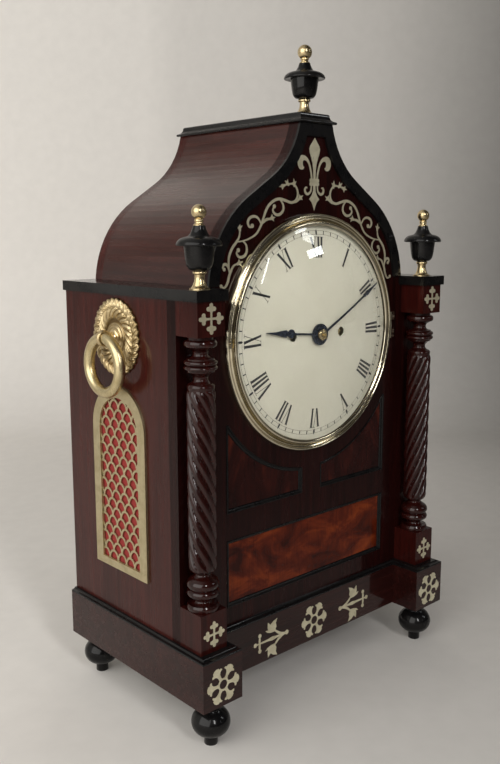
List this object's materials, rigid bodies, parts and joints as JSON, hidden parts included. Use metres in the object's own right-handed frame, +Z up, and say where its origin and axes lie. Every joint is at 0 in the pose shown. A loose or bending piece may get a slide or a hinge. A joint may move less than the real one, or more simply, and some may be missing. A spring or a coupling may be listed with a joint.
{
  "type": "bracket clock",
  "caption": "Mahogany bracket clock with an ogee arched roof, twist columns, urn finials, inlaid front, round painted dial, fretted sides with ring handles and a fusee movement.",
  "frame": {"origin": "centre of the bounding box's bottom face, on the surface the feet stand on", "axes": "+Z up, -Y out of the dial, +X to the right as seen from the front"},
  "size_m": [0.3822, 0.2204, 0.6341],
  "materials": {
    "wood": "french polished mahogany",
    "flame_veneer": "french polished flame mahogany",
    "ebonised": "ebonised and polished",
    "brass": "aged, lacquered",
    "movement_brass": "satin",
    "bell_metal": "polished",
    "steel": "satin",
    "blued_steel": "blued and polished",
    "enamel": "silk sheen",
    "silk": "woven",
    "glass": "clear",
    "gut": "dull"
  },
  "bodies": {
    "case": {"bun_feet": "ebonised", "plinth": "wood", "base_board": "wood", "seat_moulding": "ebonised", "case_sides": "wood", "case_front": "wood", "front_panels": "flame_veneer", "panel_mouldings": "ebonised", "column_blocks": "wood", "column_left": "wood", "column_right": "wood", "cornice": "ebonised", "roof_shell": "wood", "arch_border": "ebonised", "top_cap": "ebonised", "back_frame": "wood", "finial_urns": "ebonised", "finial_brasses": "brass", "front_inlays": "brass", "arch_inlays": "brass", "side_frets": "brass", "fret_silks": "silk", "handle_rosettes": "brass", "back_door_hinges": "brass", "bezel_hinge": "brass", "dial_plate": "enamel", "dial_feet": "movement_brass", "front_plate": "movement_brass", "back_plate": "movement_brass", "pillars": "movement_brass", "seat_board": "wood", "gut_lines": "gut", "back_cock": "movement_brass", "bell": "bell_metal"},
    "left_ring": {"ring_handle_left": "brass"},
    "right_ring": {"ring_handle_right": "brass"},
    "rear_door": {"back_door": "wood", "back_door_glass": "glass", "back_door_lock": "brass"},
    "bezel": {"bezel": "brass", "bezel_glass": "glass", "bezel_catch": "brass"},
    "minute": {"minute_hand": "blued_steel", "hand_collet": "brass", "centre_wheel": "movement_brass", "cannon_pinion": "movement_brass"},
    "hour": {"hour_hand": "blued_steel", "hour_wheel": "movement_brass"},
    "motion": {"minute_wheel": "movement_brass"},
    "third": {"third_wheel": "movement_brass"},
    "escape": {"escape_wheel": "movement_brass"},
    "anchor": {"pallets": "steel"},
    "pendulum": {"pendulum": "movement_brass"},
    "going_fusee": {"going_fusee": "movement_brass"},
    "going_barrel": {"going_barrel": "movement_brass"},
    "strike_fusee": {"strike_fusee": "movement_brass"},
    "strike_barrel": {"strike_barrel": "movement_brass"},
    "pin_wheel": {"pin_wheel": "movement_brass"},
    "fly": {"fly": "steel"},
    "hammer": {"bell_hammer": "steel"}
  },
  "joints": [
    {"name": "bezel_hinge_turn", "type": "hinge", "parent": "case", "child": "bezel", "pos_m": [0.1182, -0.0723, 0.362], "axis": [0, 0, 1], "range_deg": [0, 95]},
    {"name": "back_door_turn", "type": "hinge", "parent": "case", "child": "rear_door", "pos_m": [0.1184, 0.1087, 0.248], "axis": [0, 0, -1], "range_deg": [0, 110]},
    {"name": "left_ring_swing", "type": "hinge", "parent": "case", "child": "left_ring", "pos_m": [-0.18375, 0.01845, 0.365], "axis": [0, 1, 0], "range_deg": [-5, 100]},
    {"name": "right_ring_swing", "type": "hinge", "parent": "case", "child": "right_ring", "pos_m": [0.18375, 0.01845, 0.365], "axis": [0, -1, 0], "range_deg": [-5, 100]},
    {"name": "minute_turn", "type": "hinge", "parent": "case", "child": "minute", "pos_m": [0, -0.0603, 0.362], "axis": [0, 1, 0], "continuous": true},
    {"name": "hour_turn", "type": "hinge", "parent": "case", "child": "hour", "pos_m": [0, -0.0703, 0.362], "axis": [0, 1, 0], "continuous": true},
    {"name": "motion_turn", "type": "hinge", "parent": "case", "child": "motion", "pos_m": [0, -0.0523, 0.338], "axis": [0, 1, 0], "continuous": true},
    {"name": "third_turn", "type": "hinge", "parent": "case", "child": "third", "pos_m": [-0.008, -0.0103, 0.39013], "axis": [0, 1, 0], "continuous": true},
    {"name": "escape_turn", "type": "hinge", "parent": "case", "child": "escape", "pos_m": [0, -0.0103, 0.41303], "axis": [0, 1, 0], "continuous": true},
    {"name": "anchor_swing", "type": "hinge", "parent": "case", "child": "anchor", "pos_m": [0, -0.0103, 0.43703], "axis": [0, 1, 0], "range_deg": [-4, 4]},
    {"name": "pendulum_swing", "type": "hinge", "parent": "case", "child": "pendulum", "pos_m": [0, 0.0327, 0.43703], "axis": [0, 1, 0], "range_deg": [-4, 4]},
    {"name": "going_fusee_turn", "type": "hinge", "parent": "case", "child": "going_fusee", "pos_m": [0.0338, -0.0103, 0.362], "axis": [0, 1, 0], "continuous": true},
    {"name": "going_barrel_turn", "type": "hinge", "parent": "case", "child": "going_barrel", "pos_m": [0.04, -0.0103, 0.297], "axis": [0, 1, 0], "continuous": true},
    {"name": "strike_fusee_turn", "type": "hinge", "parent": "case", "child": "strike_fusee", "pos_m": [-0.0338, -0.0103, 0.362], "axis": [0, 1, 0], "continuous": true},
    {"name": "strike_barrel_turn", "type": "hinge", "parent": "case", "child": "strike_barrel", "pos_m": [-0.04, -0.0103, 0.297], "axis": [0, 1, 0], "continuous": true},
    {"name": "pin_wheel_turn", "type": "hinge", "parent": "case", "child": "pin_wheel", "pos_m": [-0.0458, -0.0103, 0.3936], "axis": [0, 1, 0], "continuous": true},
    {"name": "fly_turn", "type": "hinge", "parent": "case", "child": "fly", "pos_m": [-0.034, -0.0103, 0.428], "axis": [0, 1, 0], "continuous": true},
    {"name": "hammer_lift", "type": "hinge", "parent": "case", "child": "hammer", "pos_m": [-0.054, -0.0103, 0.436], "axis": [0, -1, 0], "range_deg": [0, 25]}
  ],
  "couplings": [
    {"joint": "hour_turn", "follows": "minute_turn", "ratio": 0.083333},
    {"joint": "motion_turn", "follows": "minute_turn", "ratio": -0.33333},
    {"joint": "third_turn", "follows": "minute_turn", "ratio": -8},
    {"joint": "going_fusee_turn", "follows": "minute_turn", "ratio": -0.083333},
    {"joint": "going_barrel_turn", "follows": "minute_turn", "ratio": -0.070756},
    {"joint": "strike_barrel_turn", "follows": "strike_fusee_turn", "ratio": 0.84907},
    {"joint": "pin_wheel_turn", "follows": "strike_fusee_turn", "ratio": -12},
    {"joint": "anchor_swing", "follows": "pendulum_swing", "ratio": 1}
  ]
}
